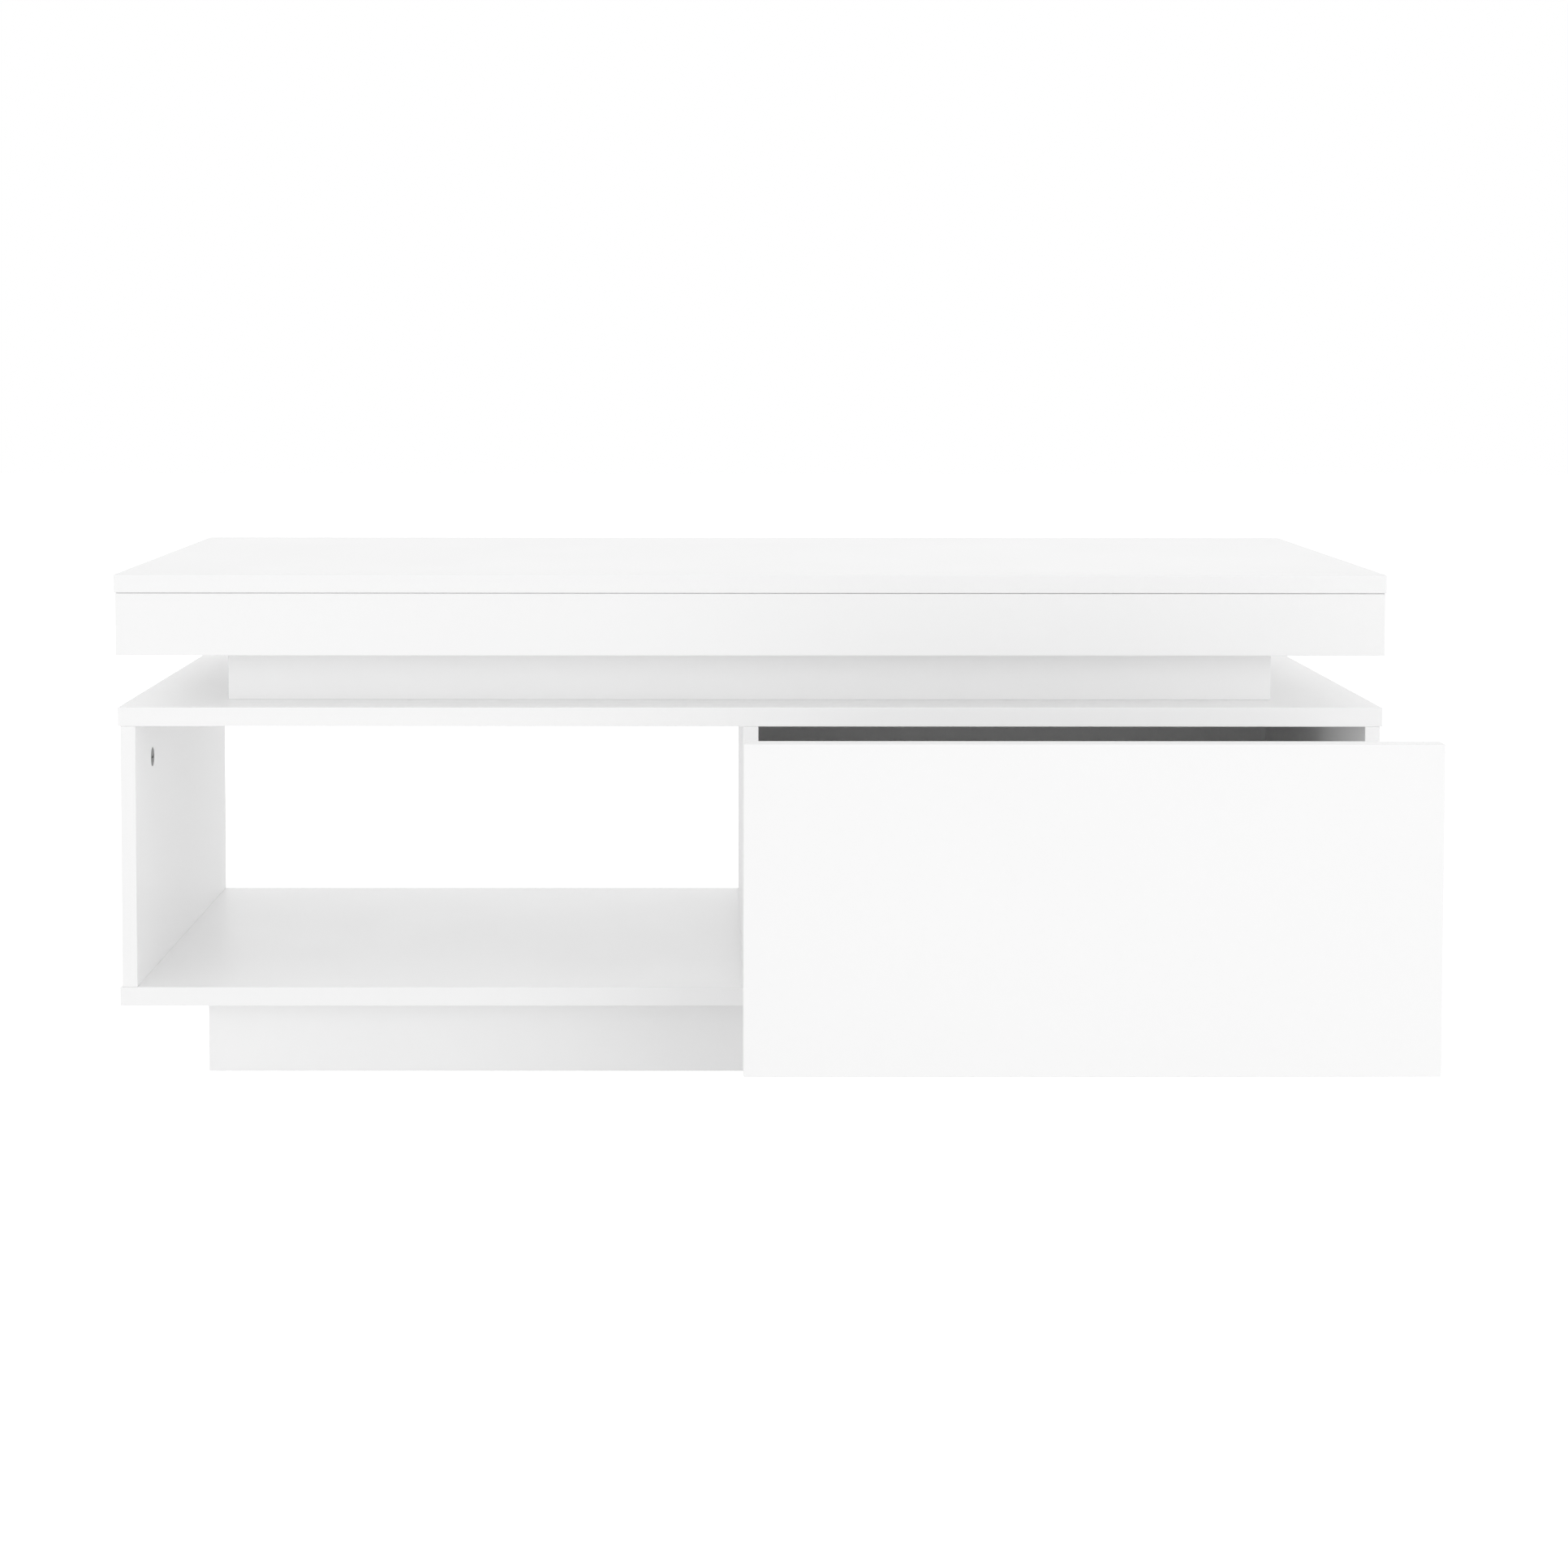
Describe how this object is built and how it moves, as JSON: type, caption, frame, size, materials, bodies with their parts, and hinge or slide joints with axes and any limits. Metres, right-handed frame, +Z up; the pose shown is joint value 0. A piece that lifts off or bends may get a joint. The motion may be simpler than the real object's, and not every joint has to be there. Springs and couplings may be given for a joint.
{
  "type": "lift top coffee table",
  "caption": "White board coffee table with a lid that lifts and comes forward over a storage compartment, an open bay, a handleless drawer and a recessed plinth.",
  "frame": {"origin": "on the floor, under the centre of the lid's outline, on the underside of the plinth's middle rail", "axes": "+X to the drawer side, seen from the front; +Y to the back; +Z up"},
  "size_m": [1, 0.73, 0.407],
  "materials": {
    "white_board": "satin white lacquered board",
    "zinc_fitting": "die-cast zinc",
    "slide_steel": "zinc-plated sheet",
    "bracket_steel": "zinc-plated sheet",
    "arm_steel": "black powder coat",
    "spring_steel": "oiled spring wire",
    "bumper_rubber": "soft clear rubber"
  },
  "bodies": {
    "carcass": {"plinth_front": "white_board", "plinth_back": "white_board", "plinth_left": "white_board", "plinth_right": "white_board", "plinth_middle_rail": "white_board", "bottom_board": "white_board", "mid_board": "white_board", "centre_partition": "white_board", "drawer_bay_back_panel": "white_board", "left_side_panel": "white_board", "right_side_panel": "white_board", "cam_lock_left_front": "zinc_fitting", "cam_lock_left_rear": "zinc_fitting", "cam_lock_right_front": "zinc_fitting", "cam_lock_right_rear": "zinc_fitting", "neck_front": "white_board", "neck_back": "white_board", "neck_left": "white_board", "neck_right": "white_board", "tray_board": "white_board", "apron_front": "white_board", "apron_back": "white_board", "apron_left": "white_board", "apron_right": "white_board", "lid_bumper_left_front": "bumper_rubber", "lid_bumper_left_rear": "bumper_rubber", "lid_bumper_right_front": "bumper_rubber", "lid_bumper_right_rear": "bumper_rubber", "lift_base_bracket_left": "bracket_steel", "lift_base_bracket_right": "bracket_steel", "base_pin_front_left": "bracket_steel", "base_pin_front_right": "bracket_steel", "lift_spring_left": "spring_steel", "lift_spring_right": "spring_steel", "drawer_slide_outer_left": "slide_steel", "drawer_slide_outer_right": "slide_steel"},
    "rear_arms": {"rear_arm_left": "arm_steel", "rear_arm_right": "arm_steel", "base_pin_rear_left": "bracket_steel", "base_pin_rear_right": "bracket_steel", "sync_tube": "arm_steel"},
    "front_arms": {"front_arm_left": "arm_steel", "front_arm_right": "arm_steel"},
    "lid": {"lid_board": "white_board", "lift_top_bracket_left": "bracket_steel", "lift_top_bracket_right": "bracket_steel", "top_pin_front_left": "bracket_steel", "top_pin_front_right": "bracket_steel", "top_pin_rear_left": "bracket_steel", "top_pin_rear_right": "bracket_steel"},
    "drawer": {"drawer_front": "white_board", "drawer_side_left": "white_board", "drawer_side_right": "white_board", "drawer_back": "white_board", "drawer_bottom": "white_board", "drawer_slide_inner_left": "slide_steel", "drawer_slide_inner_right": "slide_steel"},
    "slide_middles": {"drawer_slide_middle_left": "slide_steel", "drawer_slide_middle_right": "slide_steel"}
  },
  "joints": [
    {"name": "lift_swing", "type": "hinge", "parent": "carcass", "child": "rear_arms", "pos_m": [0, -0.08, 0.332], "axis": [1, 0, 0], "range_deg": [0, 115]},
    {"name": "lid_level", "type": "hinge", "parent": "rear_arms", "child": "lid", "pos_m": [0, 0.14651, 0.37194], "axis": [1, 0, 0], "range_deg": [-115, 0]},
    {"name": "front_arm_swing", "type": "hinge", "parent": "carcass", "child": "front_arms", "pos_m": [0, -0.14, 0.332], "axis": [1, 0, 0], "range_deg": [0, 115]},
    {"name": "drawer_slide", "type": "slide", "parent": "carcass", "child": "drawer", "axis": [0, -1, 0], "range_m": [-0.2135, 0.1365]},
    {"name": "slide_follow", "type": "slide", "parent": "carcass", "child": "slide_middles", "axis": [0, -1, 0], "range_m": [-0.10675, 0.06825]}
  ],
  "couplings": [
    {"joint": "lid_level", "follows": "lift_swing", "ratio": -1},
    {"joint": "front_arm_swing", "follows": "lift_swing", "ratio": 1},
    {"joint": "slide_follow", "follows": "drawer_slide", "ratio": 0.5}
  ]
}
